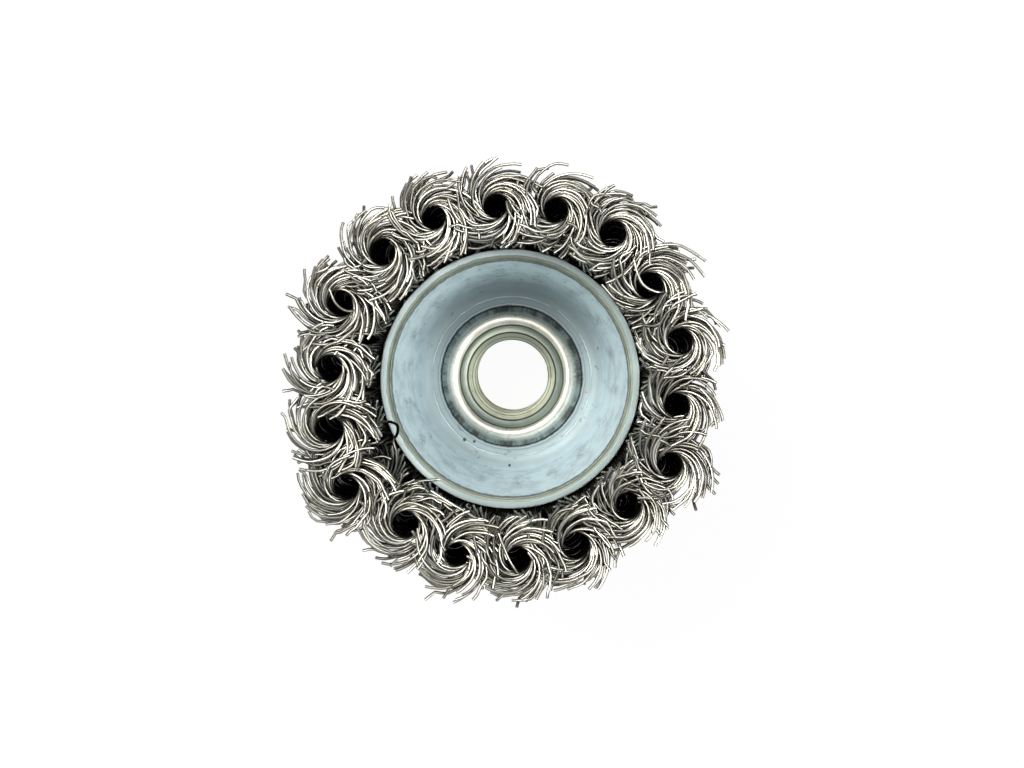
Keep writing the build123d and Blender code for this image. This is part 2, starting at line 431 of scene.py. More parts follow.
def knot_lines(number):
    """The lines of all the wires of one knot, from tip to tip, in the frame of the brush."""
    chance = random.Random(100 + number)
    *sway, hole = knot_moods[number]
    around = Matrix.Rotation(2 * pi * number / knot_count, 3, "Z")
    tilt = chance.uniform(0.05, 0.08)
    top_shift = chance.uniform(-0.35, 0.25)
    halves = []
    for (leg_radius, row_step, fan, pull), places in zip(legs, rope_places(chance)):
        ends = []
        for index, (gap, angle, opening) in enumerate(places):
            lateral = (index // 2 - row_middle) * leg_pitch
            mouth = Vector((leg_radius + row_step * (index % 2), fan * lateral, mouth_height))
            mouth += Vector((chance.uniform(-0.05, 0.05), chance.uniform(-0.05, 0.05), 0))
            rope, arm = rope_and_arm(
                ring_radius=hole + wire_radius + gap + chance.uniform(-0.05, 0.05),
                start_angle=angle + radians(chance.uniform(-2, 2)),
                opening=opening + top_shift + chance.gauss(0, 0.28),
                reach=8.0 - 2.2 * chance.random() ** 2,
                flatness=radians(chance.uniform(4, 17)),
                opening_run=chance.uniform(4.5, 6.5),
                flare=radians(min(max(chance.gauss(28, 7), 12), 46)),
                kink=radians(chance.choice((0, 0, 0, 0, -55, 45))),
            )
            bent = bent_arm(arm, sway, around, tilt, wave=chance.gauss(0, 0.10),
                            wave_start=chance.uniform(0, 2 * pi), droop=chance.gauss(0, 0.05))
            line = [rope_middle(p.z, sway) + Vector((p.x, p.y, 0)) for p in rope]
            mouth_pull = Vector((pull[0], pull[1] * lateral, pull[2]))
            low = neck(mouth, mouth_pull, line[0], (line[1] - line[0]).normalized() * 5)
            ends.append(low + line[:-1] + spread(bent, arm_points))
        halves.append(ends)
    wires = []
    for index, (inner, outer) in enumerate(zip(*halves)):
        wire = inner[::-1] + hidden_fold(index) + outer
        wires.append([around @ point for point in wire])
    return wires


lines = knot_lines(0)
print("knot 1:", len(lines), "wires of", len(lines[0]), "points")

# %% [markdown]
# A few wires have come loose. Two bow out at the upper right, some lie across a hole, and three
# reach over to the rim of the dish. Each one still starts inside the rope of its own knot. We give
# a few places along it, to the right, up and above the floor as the picture shows them, and
# draw a smooth line through those.

# %% Loose wires
loose_wires = {
    0: [[(25.9, 7.3, 48.5), (24.6, 8.6, 51.2), (24.3, 10.6, 53.4), (25.66, 12.85, 54.4),
         (27.9, 13.77, 54.7), (30.37, 14.17, 54.6)]],
    1: [[(25.6, 17.0, 48.5), (26.1, 15.5, 51.5), (25.03, 14.49, 53.6), (23.39, 14.69, 54.5),
         (21.75, 15.71, 54.9), (20.93, 17.35, 55.0), (20.32, 19.60, 54.7)],
        [(21.0, 15.6, 48.5), (20.2, 17.2, 51.2), (20.4, 19.6, 53.2), (21.75, 21.45, 54.0),
         (24.23, 21.96, 54.4), (27.09, 22.08, 54.6), (29.13, 21.26, 54.5), (31.78, 19.5, 54.2)],
        [(21.3, 15.0, 48.5), (20.6, 17.6, 51.6), (21.9, 20.0, 53.3), (25.0, 21.2, 54.2),
         (27.9, 20.4, 54.4), (29.8, 19.2, 54.3), (31.7, 16.95, 54.0)]],
    7: [[(-23.7, 13.9, 48.5), (-23.3, 12.6, 51.6), (-24.3, 11.6, 53.6), (-26.0, 11.5, 54.2),
         (-27.6, 12.7, 54.4), (-28.6, 14.9, 54.3)]],
    9: [[(-26.2, -8.8, 46.0), (-23.8, -7.8, 45.2), (-21.6, -7.0, 43.6), (-19.8, -6.75, 42.0),
         (-18.3, -7.3, 41.2), (-18.2, -8.7, 40.9), (-18.9, -10.0, 40.6), (-18.4, -12.0, 40.4),
         (-18.5, -14.2, 41.2), (-19.3, -16.4, 42.6)]],
    10: [[(-23.0, -16.6, 47.5), (-21.3, -17.6, 46.6), (-19.3, -17.5, 45.2), (-17.2, -16.9, 43.8),
          (-14.3, -16.4, 42.4), (-11.3, -16.2, 41.4)]],
    12: [[(-5.9, -26.6, 48.5), (-5.5, -28.0, 51.6), (-6.9, -29.4, 53.7), (-8.7, -29.9, 54.3),
          (-10.6, -29.4, 54.2)]],
    13: [[(0.6, -27.2, 48.5), (-0.4, -26.2, 51.4), (-2.6, -24.0, 53.0), (-5.5, -21.7, 53.6),
          (-9.0, -19.6, 53.4), (-12.4, -17.5, 52.8)],
         [(3.4, -30.4, 48.5), (3.0, -31.4, 51.4), (1.6, -30.6, 53.8), (0.13, -28.3, 54.7),
          (-0.7, -26.2, 54.9), (-1.48, -24.1, 54.6)]],
}


def loose_line(places, count):
    """A smooth line through a few places of the picture, in the frame of the brush."""
    stops = [right * picture_right + up * picture_up + Vector((0, 0, height))
             for right, up, height in places]
    chain = [2 * stops[0] - stops[1], *stops, 2 * stops[-1] - stops[-2]]
    line = []
    for before, start, stop, after in zip(chain, chain[1:], chain[2:], chain[3:]):
        line += [on_bend(start, (stop - before) / 2, stop, (after - start) / 2, step / 8)
                 for step in range(8)]
    return spread(line + [stops[-1]], count)


print("loose wires:", sum(len(wires) for wires in loose_wires.values()))

# %% [markdown]
# A line becomes a wire when it gets a round section. A curve does that for us: it sweeps a small
# hexagon along the line, and smooth shading rounds it. Then we keep the mesh and note on each
# wire its own tone and where its cut end is, for the material to read.

# %% Turn lines into wires
wire_sides = 6


def wire_mesh(name, lines, seed):
    """Round wires along the lines, as one mesh with a tone and a cut-end mark on its points."""
    curve = bpy.data.curves.new(name, "CURVE")
    curve.dimensions = "3D"
    curve.bevel_depth = wire_radius
    curve.bevel_resolution = 1
    curve.use_fill_caps = True
    curve.twist_mode = "MINIMUM"
    for line in lines:
        spline = curve.splines.new("POLY")
        spline.points.add(len(line) - 1)
        for point, place in zip(spline.points, line):
            point.co = (*place, 1)
        spline.use_smooth = True
    holder = bpy.data.objects.new(name + "_line", curve)
    mesh = bpy.data.meshes.new_from_object(holder)
    bpy.data.objects.remove(holder)
    bpy.data.curves.remove(curve)
    mesh.name = name
    mesh.transform(Matrix.Scale(mm, 4))

    chance = random.Random(seed)
    each = len(mesh.vertices) // len(lines)
    swept = len(lines[0]) * wire_sides
    tone = mesh.attributes.new("tone", "FLOAT", "POINT")
    cut = mesh.attributes.new("cut", "FLOAT", "POINT")
    tones = [min(max(chance.gauss(0.5, 0.24), 0), 1) for line in lines]
    for index in range(len(mesh.vertices)):
        wire, at = divmod(index, each)
        ring = at // wire_sides
        tone.data[index].value = tones[wire]
        cut.data[index].value = float(at >= swept or ring in (0, len(lines[0]) - 1))
    return mesh


print("sides of a wire:", wire_sides)

# %% [markdown]
# Work leaves the brush sooty. Steel dust and oil, with painted shade, blacken the hollow of each
# rope and all that the arms shelter, and only a row of wires near the rim of the dish and the
# outside of the ropes stay lighter. Painting that by hand would take eighteen images, so each point
# of a knot notes how black it is from where it lies. One loose loop is black where it hangs over
# the rim of the dish.

# %% Soot and painted shade
black_loop = 9
shade_and_soot_top, shade_and_soot_fade = 51.2, 2.6


def paint_soot_and_shade(mesh, number, wire_count):
    """Marks how black each point is with soot and painted shade: the rope's hollow and all under the
    arms.
    """
    # In each ease the first number is where the change begins, the second how long it takes.
    first_loose = len(mesh.vertices) * wires_a_knot // wire_count
    *sway, hole = knot_moods[number]
    back = Matrix.Rotation(-2 * pi * number / knot_count, 3, "Z")
    soot_and_shade = mesh.attributes.new("soot_and_shade", "FLOAT", "POINT")
    for index, point in enumerate(mesh.vertices):
        place = back @ point.co / mm
        from_spindle = hypot(place.x, place.y)
        # Painted shade and soot below the top layer of arms.
        below = 1 - ease((place.z - shade_and_soot_top) / shade_and_soot_fade)
        if index >= first_loose:
            over_rim = ease((21.3 - from_spindle) / 0.7) if number == black_loop else 0.0
            soot_and_shade.data[index].value = max(0.12 * below, over_rim)
            continue
        # Painted shade and soot in the hollow of each rope, less near the rim of the dish and on the
        # rope's outside.
        beside = place - rope_middle(place.z, sway)
        inside = 1 - ease((hypot(beside.x, beside.y) - hole - 0.7) / 0.7)
        inside *= 1 - 0.5 * ease((place.z - 44) / 6)
        at_rim = ease((25.4 - from_spindle) / 1.8) * ease((place.z - 30.5) / 1.5)
        at_rim *= 1 - 0.6 * ease((place.z - 37) / 5)
        outside = ease((from_spindle - 27) / 2.5) * (1 - ease((place.z - 46.5) / 2.5))
        soot_and_shade.data[index].value = below * max(inside, 0.80 - 0.72 * max(at_rim, outside))


lines = knot_lines(0)
mesh = wire_mesh("trial", lines, 300)
paint_soot_and_shade(mesh, 0, len(lines))
soot_and_shade_marks = [mark.value for mark in mesh.attributes["soot_and_shade"].data]
print("mean soot of a knot:", round(sum(soot_and_shade_marks) / len(soot_and_shade_marks), 2))
bpy.data.meshes.remove(mesh)

# %% Make the eighteen knots
knots = []
for number in range(knot_count):
    name = f"wires_{number + 1:02d}"
    lines = knot_lines(number)
    lines += [loose_line(places, len(lines[0])) for places in loose_wires.get(number, [])]
    mesh = wire_mesh(name, lines, 300 + number)
    paint_soot_and_shade(mesh, number, len(lines))
    piece = bpy.data.objects.new(name, mesh)
    scene.collection.objects.link(piece)
    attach(piece, "root")
    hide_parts(f"knot_{number + 1:02d}")
    knots.append(piece)
print(len(knots), "knots,", sum(len(k.data.polygons) for k in knots), "faces, the largest with",
      max(len(k.data.polygons) for k in knots))

# %% [markdown]
# ## Finishes
#
# All the metal on the brush is stained in the same way: patches of grey film with soft edges,
# and small dark specks. That is one shader group, and each material gives it its own scale and
# colours.

# %% Helpers for finishes
def new_group(name, inputs, outputs):
    """An empty shader group with named sockets."""
    group = bpy.data.node_groups.new(name, "ShaderNodeTree")
    for label, kind, value in inputs:
        socket = group.interface.new_socket(label, in_out="INPUT", socket_type="NodeSocket" + kind)
        if value is not None:
            socket.default_value = value
    for label, kind in outputs:
        group.interface.new_socket(label, in_out="OUTPUT", socket_type="NodeSocket" + kind)
    given = group.nodes.new("NodeGroupInput").outputs
    return group, given, group.nodes.new("NodeGroupOutput").inputs


def stain_colours(tree, share, first, second):
    """First colour, going over to the second where share is 1. Either may be a socket."""
    return node(tree, "Mix", {0: share, 6: first, 7: second}, data_type="RGBA").outputs[2]


def between(tree, source, low, high):
    """0 below low, 1 above high, and a soft step in between."""
    return node(tree, "MapRange", {0: source, 1: low, 2: high, 3: 0.0, 4: 1.0},
                interpolation_type="SMOOTHSTEP").outputs[0]


def cloud(tree, place, scale, detail=4.0, roughness=0.6):
    """Soft noise between 0 and 1."""
    return node(tree, "TexNoise", {"Vector": place, "Scale": scale, "Detail": detail,
                                   "Roughness": roughness}).outputs[0]


print("helpers for finishes: new_group, stain_colours, between, cloud")

# %% Group: stained metal
stain, given, result = new_group(
    "stained_metal",
    [("Place", "Vector", None), ("Metal", "Color", (0.6, 0.6, 0.6, 1)),
     ("Film", "Color", (0.3, 0.3, 0.3, 1)), ("Film Scale", "Float", 120.0),
     ("Film Amount", "Float", 0.4), ("Speck Scale", "Float", 900.0), ("Speck Amount", "Float", 0.5)],
    [("Color", "Color"), ("Film", "Float"), ("Grain", "Float")],
)
patches = between(stain, cloud(stain, given["Place"], given["Film Scale"], 6.0), 0.42, 0.66)
film = times(stain, patches, given["Film Amount"])
filmed = stain_colours(stain, film, given["Metal"], given["Film"])
dots = between(stain, cloud(stain, given["Place"], given["Speck Scale"], 2.0), 0.66, 0.72)
specks = times(stain, dots, given["Speck Amount"])
spotted = stain_colours(stain, specks, filmed, (0.03, 0.03, 0.025, 1))
fine = cloud(stain, given["Place"], 4000.0, 2.0)
for label, source in (("Color", spotted), ("Film", film), ("Grain", fine)):
    stain.links.new(source, result[label])
print("group stained_metal:", len(stain.nodes), "nodes")

# %% [markdown]
# The dish, the cup and the crest of the nut were all turned or spun, which leaves fine rings
# round the spindle. The rings follow the distance from the middle, with a little unevenness, so
# one group serves them all.

# %% Group: turned rings
rings, given, result = new_group(
    "turned_rings",
    [("Place", "Vector", None), ("Ring Scale", "Float", 900.0)],
    [("Rings", "Float"), ("Distance", "Float"), ("Angle", "Float")],
)
split = node(rings, "SeparateXYZ", {0: given["Place"]}).outputs
squares = reckon(rings, "ADD", times(rings, split[0], split[0]), times(rings, split[1], split[1]))
distance = reckon(rings, "SQRT", squares)
angle = reckon(rings, "ARCTAN2", split[1], split[0])
section = node(rings, "CombineXYZ", {0: distance, 1: times(rings, angle, 0.4 * mm), 2: split[2]})
lines_of_tool = cloud(rings, section.outputs[0], given["Ring Scale"], 3.0, 0.7)
for label, source in (("Rings", lines_of_tool), ("Distance", distance), ("Angle", angle)):
    rings.links.new(source, result[label])
print("group turned_rings:", len(rings.nodes), "nodes")

# %% [markdown]
# ### Wire
#
# Hard spring steel is grey. Each wire gets a painted shade on its flanks, which face neither up
# nor outwards, so it is bright only along its top. Deep between the wires it is black with steel
# dust and oil and painted shade, and the soot mark of each point says how much of that it carries.
# Every wire has its own tone, the cut ends shine, and here and there a speck has rusted.

# %% The shader of a metal
def metal_shader(tree, output, metallic, colour, rough, height, strength, depth):
    """The shader of a metal, with a bump of some depth in millimetres that follows a height."""
    bump = node(tree, "Bump", {"Strength": strength, "Distance": depth * mm, "Height": height})
    shine = node(tree, "BsdfPrincipled", {"Base Color": colour, "Metallic": metallic,
                                          "Roughness": rough, "Normal": bump.outputs[0]})
    tree.links.new(shine.outputs[0], output.inputs["Surface"])


print("helper for shaders: metal_shader")

# %% Wire steel
wire_steel, wire_out = new_material("wire_steel_worn")
tree = wire_steel.node_tree
place = node(tree, "TexCoord").outputs["Object"]
tone, cut, soot_and_shade = (node(tree, "Attribute", attribute_name=mark).outputs["Fac"]
                   for mark in ("tone", "cut", "soot_and_shade"))
bright = stain_colours(tree, tone, (0.265, 0.252, 0.212, 1), (0.82, 0.79, 0.68, 1))
normal = node(tree, "NewGeometry").outputs["Normal"]
flat_place = node(tree, "VectorMath", {0: place, 1: (1, 1, 0)}, operation="MULTIPLY").outputs[0]
outwards = node(tree, "VectorMath", {0: flat_place}, operation="NORMALIZE").outputs[0]
facing_out = node(tree, "VectorMath", {0: normal, 1: outwards}, operation="DOT_PRODUCT")
facing_out = reckon(tree, "ABSOLUTE", facing_out.outputs["Value"])
facing_up = node(tree, "SeparateXYZ", {0: normal}).outputs[2]
# Painted shade: flanks that face neither up nor outwards turn dark, tops stay bright.
facing_up_or_out = reckon(tree, "MAXIMUM", facing_up, times(tree, facing_out, 0.95))
tops_lit_flanks_shaded = stain_colours(tree, between(tree, facing_up_or_out, 0.42, 0.98), (0.07, 0.066, 0.055, 1), bright)
stained = node(tree, "Group", {
    "Place": place, "Metal": tops_lit_flanks_shaded, "Film": (0.16, 0.14, 0.11, 1), "Film Scale": 260.0,
    "Film Amount": 0.55, "Speck Scale": 1300.0, "Speck Amount": 0.8}, node_tree=stain).outputs
rust = between(tree, cloud(tree, place, 420.0, 2.0), 0.755, 0.80)
rusted = stain_colours(tree, rust, stained["Color"], (0.22, 0.07, 0.03, 1))
# Soot and painted shade darken the wire as far as the soot mark says.
shaded_deep = stain_colours(tree, soot_and_shade, (1.0, 1.0, 1.0, 1), (0.02, 0.019, 0.017, 1))
sooty_and_shaded = node(tree, "Mix", {0: 1.0, 6: rusted, 7: shaded_deep}, data_type="RGBA",
             blend_type="MULTIPLY").outputs[2]
shining = stain_colours(tree, times(tree, cut, 0.7), sooty_and_shaded, (0.9, 0.88, 0.82, 1))
rough = reckon(tree, "ADD", times(tree, stained["Film"], 0.2), 0.28)
metal_shader(tree, wire_out, 1.0, shining, rough, stained["Grain"], 0.1, 0.03)
for knot in knots:
    knot.data.materials.append(wire_steel)
print("wire steel on", len(knots), "knots")

# %% [markdown]
# ## Pressings
#
# A pressing is a closed section spun round the spindle. The dish has a flat floor, a round bend
# and a wall that opens like a trumpet. Its rim is the bare cut edge of the sheet. The shears
# left a thin burr along its inner corner, and pressing rounded the outer corner. A Screw modifier
# could turn the same section, but a spin leaves a mesh whose burr we can then roughen by hand.

# %% Spinning a section
def arc_points(middle, radius, start, end, steps):
    """Points on a round part of a section."""
    angles = [radians(start + (end - start) * step / steps) for step in range(steps + 1)]
    return [(middle[0] + radius * cos(turn), middle[1] + radius * sin(turn)) for turn in angles]


def spun(section, steps=120):
    """A closed section in the plane of the spindle, spun into a ring."""
    shape = bmesh.new()
    corners = [shape.verts.new((r, 0, z)) for r, z in section]
    edges = [shape.edges.new(pair) for pair in zip(corners, corners[1:] + corners[:1])]
    bmesh.ops.spin(shape, geom=corners + edges, cent=(0, 0, 0), axis=(0, 0, 1), angle=2 * pi,
                   steps=steps, use_merge=True)
    bmesh.ops.remove_doubles(shape, verts=shape.verts, dist=0.0005)
    bmesh.ops.recalc_face_normals(shape, faces=shape.faces)
    return shape


def finished(name, shape, sharp=32):
    """The shape as an object in metres, smooth but for its sharp edges."""
    bmesh.ops.scale(shape, vec=(mm, mm, mm), verts=shape.verts)
    mesh = bpy.data.meshes.new(name)
    shape.to_mesh(mesh)
    shape.free()
    mesh.shade_smooth()
    mesh.set_sharp_from_angle(angle=radians(sharp))
    made = bpy.data.objects.new(name, mesh)
    scene.collection.objects.link(made)
    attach(made, "root")
    return made


print("helpers for pressings: arc_points, spun, finished")

# %% Section of the dish
sheet, hole_edge = 1.8, 9.65
floor_edge, floor_top, bend = 13.3, 17.6, 2.5
wall_angle, rim_angle, rim_top = 79, 71, 34.0
corner_at, corner_low, corner_radius = 1.38, 0.40, 0.31
bend_middle = (floor_edge, floor_top + bend)
bend_end = (floor_edge + bend * sin(radians(wall_angle)),
            floor_top + bend * (1 - cos(radians(wall_angle))))
wall_radius = (rim_top - bend_end[1]) / (cos(radians(rim_angle)) - cos(radians(wall_angle)))
wall_middle = (bend_end[0] + wall_radius * sin(radians(wall_angle)),
               bend_end[1] - wall_radius * cos(radians(wall_angle)))
mouth = wall_middle[0] - wall_radius * sin(radians(rim_angle))

inside = [(radius, floor_top + lift) for radius, lift in (
    (hole_edge, 0), (11.9, 0), (12.02, 0.04), (12.14, 0), (13.1, 0), (13.2, 0.05), (13.32, 0.05))]
inside += arc_points(bend_middle, bend, -88, wall_angle - 90, 12)
inside += arc_points(wall_middle, wall_radius, wall_angle + 90, rim_angle + 90, 14)[1:-1]
rim = [(mouth + outwards, rim_top + lift) for outwards, lift in (
    (-0.02, -0.16), (-0.06, 0.02), (0.05, 0.08), (0.16, -0.02), (0.28, -0.16), (0.52, -0.20),
    (0.64, -0.10), (0.72, -0.05), (0.80, -0.05), (corner_at, -0.09))]
rim += arc_points((mouth + corner_at, rim_top - corner_low), corner_radius, 82, -18, 6)
outside = arc_points(wall_middle, wall_radius - sheet, rim_angle + 90.5, wall_angle + 90, 12)
outside += arc_points(bend_middle, bend + sheet, wall_angle - 90, -90, 10)
outside += [(hole_edge, floor_top - sheet)]
print("section of the dish:", len(inside + rim + outside), "points, mouth radius", round(mouth, 2))

# %% Dish
dish_steps = 240
burr_depth, burr_width, burr_push, burr_lift = 0.2, 0.25, 0.035, 0.02
dish_shape = spun(inside + rim + outside, dish_steps)
chance = random.Random(11)
raggedness = [chance.uniform(-1, 1) for step in range(dish_steps)]
for point in dish_shape.verts:
    from_spindle = hypot(point.co.x, point.co.y)
    if point.co.z > rim_top - burr_depth and from_spindle < mouth + burr_width:
        step = round(atan2(point.co.y, point.co.x) / (2 * pi) * dish_steps) % dish_steps
        push = 1 + burr_push * raggedness[step] / from_spindle
        point.co.x *= push
        point.co.y *= push
        point.co.z += burr_lift * raggedness[(step * 7) % dish_steps]
dish = finished("spun_dish", dish_shape, 38)
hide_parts("inner_dish")
print("dish:", len(dish.data.polygons), "faces")

# %% [markdown]
# ### Zinc on the pressings
#
# All three pressings are zinc plated: a bluish, half dull metal, cloudy, with faint rings. The
# cup and the plate keep the meshes of the solid model and only get a finish, which they share.
# It is plainer and shinier than the dish's, because nothing rubs on the outside of the cup.

# %% A finish on turned metal
def turned_metal(name, ring_scale):
    """A new material on turned metal: its output, its tree, the place and the rings there."""
    made, output = new_material(name)
    tree = made.node_tree
    place = node(tree, "TexCoord").outputs["Object"]
    turned = node(tree, "Group", {"Place": place, "Ring Scale": ring_scale}, node_tree=rings)
    return made, output, tree, place, turned.outputs


print("helper for turned metal: turned_metal")

# %% Zinc of the cup and the plate
cup_zinc, output, tree, place, turned = turned_metal("cup_zinc_plate", 700.0)
drawn = stain_colours(tree, between(tree, turned["Rings"], 0.3, 0.7), (0.31, 0.35, 0.37, 1),
                      (0.42, 0.465, 0.485, 1))
stained = node(tree, "Group", {
    "Place": place, "Metal": drawn, "Film": (0.22, 0.25, 0.27, 1), "Film Scale": 45.0,
    "Film Amount": 0.6, "Speck Scale": 500.0, "Speck Amount": 0.15}, node_tree=stain).outputs
rough = reckon(tree, "ADD", times(tree, stained["Film"], 0.2), 0.28)
metal_shader(tree, output, 0.8, stained["Color"], rough, turned["Rings"], 0.3, 0.05)
for name in ("outer_cup", "wire_plate"):
    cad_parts[name].material_slots[0].material = cup_zinc
print("zinc on the cup and the plate")

# %% [markdown]
# The dish shows its life. The ropes have rubbed a smudge on its wall beside each of them. Its
# cut edge is olive at the burr, with a dark line of dirt inside the burr, and outside it gets
# painted light on the left and a painted highlight along its rounded corner. A burnished ring runs
# where the floor bends up, painted shade lies beside the nut, in the gap round it and on the upper
# side, and there are three small pits and one speck of red paint. They could be painted on an
# image, but then they would blur close up. Each one is a mask instead, laid on in turn with its own
# strength and colour.

# %% Zinc of the dish
dish_zinc, output, tree, place, turned = turned_metal("dish_zinc_plate", 1500.0)
distance, angle = turned["Distance"], turned["Angle"]
# Painted shade: the zinc is darker down on the floor of the dish and lighter up the wall.
up_the_wall = between(tree, distance, 13.9 * mm, 16.2 * mm)
clean_and_shaded = stain_colours(tree, up_the_wall, (0.375, 0.45, 0.45, 1), (0.77, 0.92, 0.97, 1))
scored = times(tree, between(tree, turned["Rings"], 0.52, 0.75), 0.22)
ringed = stain_colours(tree, scored, clean_and_shaded, (0.24, 0.30, 0.30, 1))
marked = node(tree, "Group", {
    "Place": place, "Metal": ringed, "Film": (0.42, 0.53, 0.57, 1), "Film Scale": 330.0,
    "Film Amount": 0.45, "Speck Scale": 700.0, "Speck Amount": 0.4},
    node_tree=stain).outputs["Color"]
rough = reckon(tree, "ADD", times(tree, cloud(tree, place, 1800.0, 3.0), 0.2), 0.42)
print("clean zinc of the dish:", len(tree.nodes), "nodes")

# %% Masks of the dish
wander = times(tree, cloud(tree, place, 900.0, 4.0), 0.4 * mm)
ragged = reckon(tree, "SUBTRACT", reckon(tree, "ADD", distance, wander), 0.2 * mm)


def ring_mask(low, high, soft=0.06):
    """1 between two distances from the spindle, in millimetres."""
    return times(tree, between(tree, ragged, (low - soft) * mm, (low + soft) * mm),
                 between(tree, ragged, (high + soft) * mm, (high - soft) * mm))


def spot_mask(x, y, size):
    """1 within a small distance of a place on the dish, in millimetres."""
    split = node(tree, "SeparateXYZ", {0: place}).outputs
    flat = node(tree, "CombineXYZ", {0: split[0], 1: split[1]}).outputs[0]
    reach = node(tree, "VectorMath", {0: flat, 1: (x * mm, y * mm, 0)}, operation="DISTANCE")
    return between(tree, reach.outputs["Value"], 1.2 * size * mm, 0.6 * size * mm)


def picture_side(tree, angle, clock_angle, low, high):
    """1 on the side of the brush that lies at an angle in the picture, 0 on the other side."""
    turned_angle = reckon(tree, "ADD", angle, picture_turn - clock_angle)
    return between(tree, reckon(tree, "COSINE", turned_angle), low, high)


beside_smudge = reckon(tree, "ABSOLUTE", reckon(tree, "SUBTRACT", distance, 17.1 * mm))
smudge_band = between(tree, beside_smudge, 1.2 * mm, 0.3 * mm)
beat = reckon(tree, "COSINE", times(tree, angle, float(knot_count)))
patchy = reckon(tree, "ADD", beat, times(tree, cloud(tree, place, 420.0, 6.0), 6.0))
rubbed = times(tree, smudge_band, between(tree, patchy, 3.1, 4.6))
smudges = times(tree, rubbed, between(tree, cloud(tree, place, 2600.0, 3.0), 0.3, 0.6))
# Painted shade: the floor and the foot of the wall are darker on the upper side.
painted_shade_upper_side = times(tree, between(tree, distance, 18.5 * mm, 14.5 * mm),
             picture_side(tree, angle, radians(90), -0.1, 1.0))
# Painted light: the cut edge is lighter on its left part.
painted_light_left_rim = times(tree, ring_mask(20.34, 22.5), picture_side(tree, angle, radians(150), -0.3, 0.7))
burnished = times(tree, ring_mask(13.24, 13.36),
                  between(tree, cloud(tree, place, 160.0, 3.0), 0.35, 0.62))
print("masks of the dish:", len(tree.nodes), "nodes so far")

# %% Marks on the dish
pit = (0.04, 0.05, 0.05, 1)
for mask, amount, colour in (
    (smudges, 0.55, (0.16, 0.20, 0.22, 1)),
    (painted_shade_upper_side, 0.68, (0.15, 0.185, 0.19, 1)),
    # On the floor: painted shade beside the nut and painted shadow in the gap round it, fine lines
    # of the spinning tool and the burnished ring.
    (ring_mask(0.0, 12.0, 0.25), 0.55, (0.05, 0.055, 0.055, 1)),
    (ring_mask(0.0, 11.78), 1.0, (0.015, 0.015, 0.015, 1)),
    (ring_mask(11.96, 12.08), 0.6, (0.60, 0.68, 0.68, 1)),
    (ring_mask(12.20, 12.32), 0.5, (0.16, 0.19, 0.19, 1)),
    (ring_mask(13.00, 13.12), 0.5, (0.18, 0.21, 0.21, 1)),
    (burnished, 0.9, (0.85, 0.90, 0.90, 1)),
    # On the cut edge, from the wall outwards: dirt, the burr and its crest, the sheet with painted
    # light on its left part, and a painted highlight on its rounded corner.
    (ring_mask(19.30, 19.62), 0.85, (0.10, 0.12, 0.10, 1)),
    (ring_mask(19.60, 20.22), 1.0, (0.43, 0.48, 0.38, 1)),
    (ring_mask(19.84, 20.06), 0.6, (0.66, 0.68, 0.54, 1)),
    (ring_mask(20.20, 20.34), 0.8, (0.24, 0.29, 0.27, 1)),
    (ring_mask(20.34, 22.5), 1.0, (0.45, 0.56, 0.54, 1)),
    (painted_light_left_rim, 1.0, (0.88, 1.0, 0.97, 1)),
    (ring_mask(20.82, 20.90), 0.5, (0.36, 0.44, 0.45, 1)),
    # Painted highlight along the rounded outer corner of the cut edge.
    (ring_mask(21.12, 21.4), 0.8, (0.95, 0.97, 0.95, 1)),
    # The pits and the speck of paint.
    (spot_mask(-4.0, -14.3, 0.24), 1.0, pit),
    (spot_mask(-10.24, -8.31, 0.32), 1.0, pit),
    (spot_mask(-8.74, -9.02, 0.28), 0.9, pit),
    (spot_mask(11.37, -5.65, 0.22), 0.9, (0.62, 0.16, 0.16, 1)),
):
    marked = stain_colours(tree, times(tree, mask, amount), marked, colour)
metal_shader(tree, output, 0.3, marked, rough, turned["Rings"], 0.2, 0.04)
dish.data.materials.append(dish_zinc)
print("zinc on the dish:", len(tree.nodes), "nodes")

# %% [markdown]
# ## The nut
#
# The nut is a hexagon with a sleeve. The end of the sleeve was rolled out over the dish with a
# spinning tool, which left a bright round crest and a torn dark band beside it. We draw half of
# its section and spin it. The hexagon comes last: every point of the lower part that stands
# outside one of the six flats is pushed back on to it.

# %% Section of the nut
# The bevelled foot, the hexagon, the neck inside the stack, the rolled edge, the round crest, the
# torn hollow beside it and the bore.
flat, hexagon_top, nut_top = 11.0, 12.0, 18.6
bevel_out, bevel_up = 1.70, 0.98
countersink, bore, neck_radius = 7.35, 7.0, 9.6
crest_middle, crest_radius = (9.5276, 18.4476), 1.0524
nut_section = [(countersink, 0.0), (flat, 0.0)]
nut_section += [(flat + bevel_out * step / 6, bevel_up * step / 6) for step in range(1, 7)]
nut_section += [(flat + bevel_out, hexagon_top), (neck_radius, hexagon_top), (neck_radius, 17.6),
                (11.6, 17.6), (11.7, 17.7), (11.68, 17.93), (11.3, 18.27), (10.9, 18.58)]
nut_section += arc_points(crest_middle, crest_radius, 22.5, 208.2, 16)
nut_section += [(8.56, 18.0), (8.5, 18.26), (8.1, 18.42), (7.6, 18.54), (7.42, 18.56), (7.3, 18.5),
                (7.0, 18.2), (6.9, 18.12), (6.84, 18.0), (bore, 17.8), (bore, 0.35)]

nut_shape = spun(nut_section)
for point in nut_shape.verts:
    from_spindle = hypot(point.co.x, point.co.y)
    if point.co.z < hexagon_top + 0.01 and from_spindle > flat:
        turn = atan2(point.co.y, point.co.x) % (pi / 3) - pi / 6
        push = min(1, flat / cos(turn) / from_spindle)
        point.co.x *= push
        point.co.y *= push
nut = finished("nut_and_sleeve", nut_shape, 25)
print("nut:", len(nut.data.polygons), "faces")

